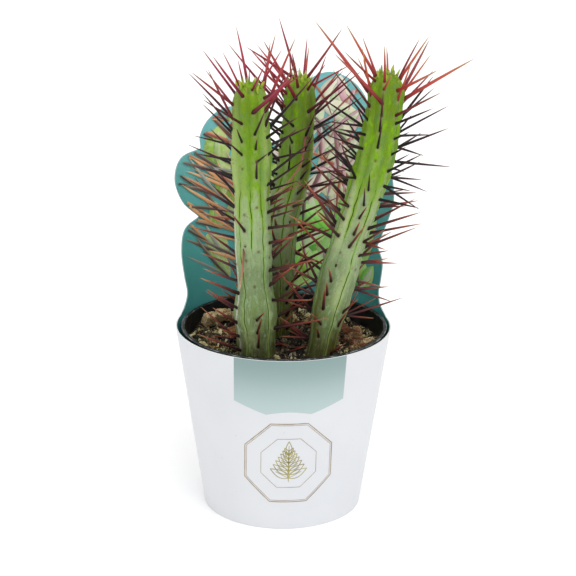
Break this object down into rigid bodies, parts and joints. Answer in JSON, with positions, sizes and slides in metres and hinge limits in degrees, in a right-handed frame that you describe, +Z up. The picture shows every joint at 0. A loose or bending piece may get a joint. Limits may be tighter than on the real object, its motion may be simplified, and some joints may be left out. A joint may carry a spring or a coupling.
{
  "type": "potted euphorbia",
  "caption": "Spiny, ribbed euphorbia stems growing in soil in a round nursery pot, wrapped by a tapered card sleeve whose back rises as a scalloped panel.",
  "frame": {"origin": "on the pot's axis, on the surface that the pot stands on", "axes": "+Z up along the pot's axis, -Y towards the front, where the sleeve is low, +Y towards the card panel at the back, +X to the right seen from the front"},
  "size_m": [0.16, 0.139, 0.2742],
  "materials": {
    "pot_plastic": "satin",
    "sleeve_card": "satin",
    "soil_mix": "matte",
    "stem_skin": "satin"
  },
  "bodies": {
    "root": {"pot": "pot_plastic", "sleeve": "sleeve_card", "soil": "soil_mix", "stem_left": "stem_skin", "stem_middle": "stem_skin", "stem_right": "stem_skin"}
  },
  "joints": []
}
